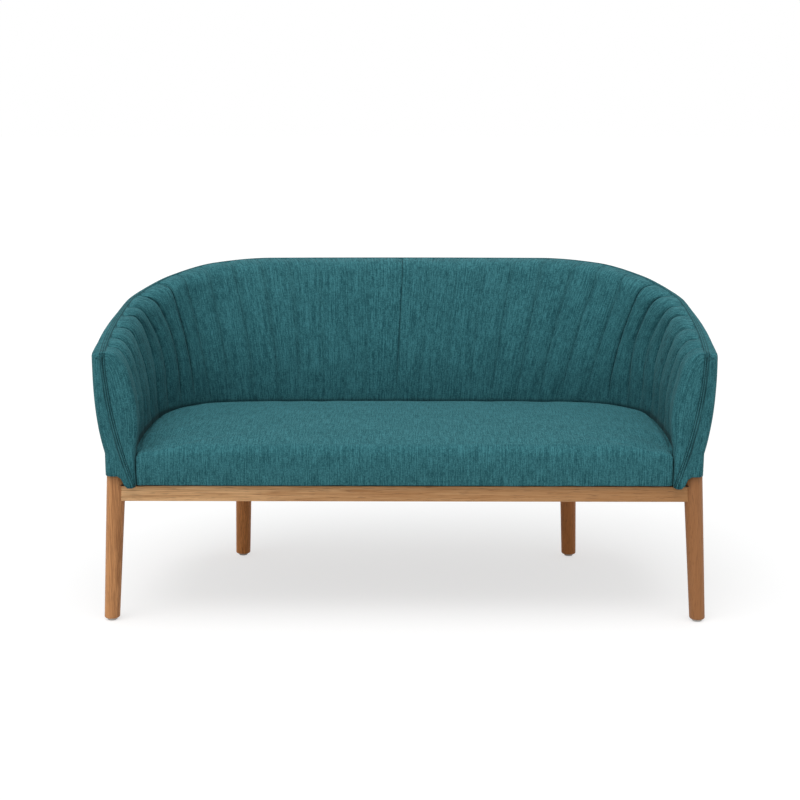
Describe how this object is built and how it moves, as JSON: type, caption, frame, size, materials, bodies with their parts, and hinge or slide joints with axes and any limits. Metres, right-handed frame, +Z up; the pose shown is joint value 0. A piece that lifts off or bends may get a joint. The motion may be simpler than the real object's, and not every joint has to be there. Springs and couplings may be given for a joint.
{
  "type": "settee",
  "caption": "Low barrel-back settee: channel-quilted tub wall sweeping down to the arms, tight bench seat, wooden base on round splayed legs.",
  "frame": {"origin": "on the floor, in the middle of the settee's width and depth", "axes": "+Z up; the sitter looks along -Y; +X runs along the seat, to the right as the settee is seen from its front"},
  "size_m": [1.3574, 0.7, 0.745],
  "materials": {
    "upholstery": "heathered teal flat weave",
    "oiled_wood": "oiled solid wood, light brown",
    "plywood": "raw plywood",
    "foam": "open-cell upholstery foam",
    "fibreboard": "raw fibreboard",
    "steel": "zinc-plated steel",
    "glide_plastic": "pale grey plastic",
    "webbing": "black elastic webbing",
    "dust_cloth": "black non-woven cloth"
  },
  "bodies": {
    "root": {"arm_foam_left": "foam", "arm_foam_right": "foam", "arm_liner_left": "fibreboard", "arm_liner_right": "fibreboard", "back_body_bolt_left": "steel", "back_body_bolt_right": "steel", "back_corner_block_left": "oiled_wood", "back_corner_block_right": "oiled_wood", "back_foam": "foam", "back_glide_left": "glide_plastic", "back_glide_right": "glide_plastic", "back_leg_bolt_left": "steel", "back_leg_bolt_right": "steel", "back_leg_left": "oiled_wood", "back_leg_right": "oiled_wood", "back_liner": "fibreboard", "back_post_left": "plywood", "back_post_right": "plywood", "back_rail": "oiled_wood", "bottom_ring": "plywood", "corner_foam_left": "foam", "corner_foam_right": "foam", "corner_liner_left": "fibreboard", "corner_liner_right": "fibreboard", "corner_post_left": "plywood", "corner_post_right": "plywood", "cross_rail": "oiled_wood", "cross_web_1": "webbing", "cross_web_2": "webbing", "dust_cover": "dust_cloth", "front_body_bolt_left": "steel", "front_body_bolt_right": "steel", "front_corner_block_left": "oiled_wood", "front_corner_block_right": "oiled_wood", "front_edge_foam": "foam", "front_glide_left": "glide_plastic", "front_glide_right": "glide_plastic", "front_leg_bolt_left": "steel", "front_leg_bolt_right": "steel", "front_leg_left": "oiled_wood", "front_leg_right": "oiled_wood", "front_post_left": "plywood", "front_post_right": "plywood", "front_rail": "oiled_wood", "inner_cover": "upholstery", "outer_cover": "upholstery", "ring_spacer_left": "plywood", "ring_spacer_right": "plywood", "seat_cover": "upholstery", "seat_foam": "foam", "seat_front_rail": "plywood", "seat_ring": "plywood", "seat_web_1": "webbing", "seat_web_2": "webbing", "seat_web_3": "webbing", "seat_web_4": "webbing", "seat_web_5": "webbing", "side_rail_left": "oiled_wood", "side_rail_right": "oiled_wood", "top_rail": "plywood"}
  },
  "joints": []
}
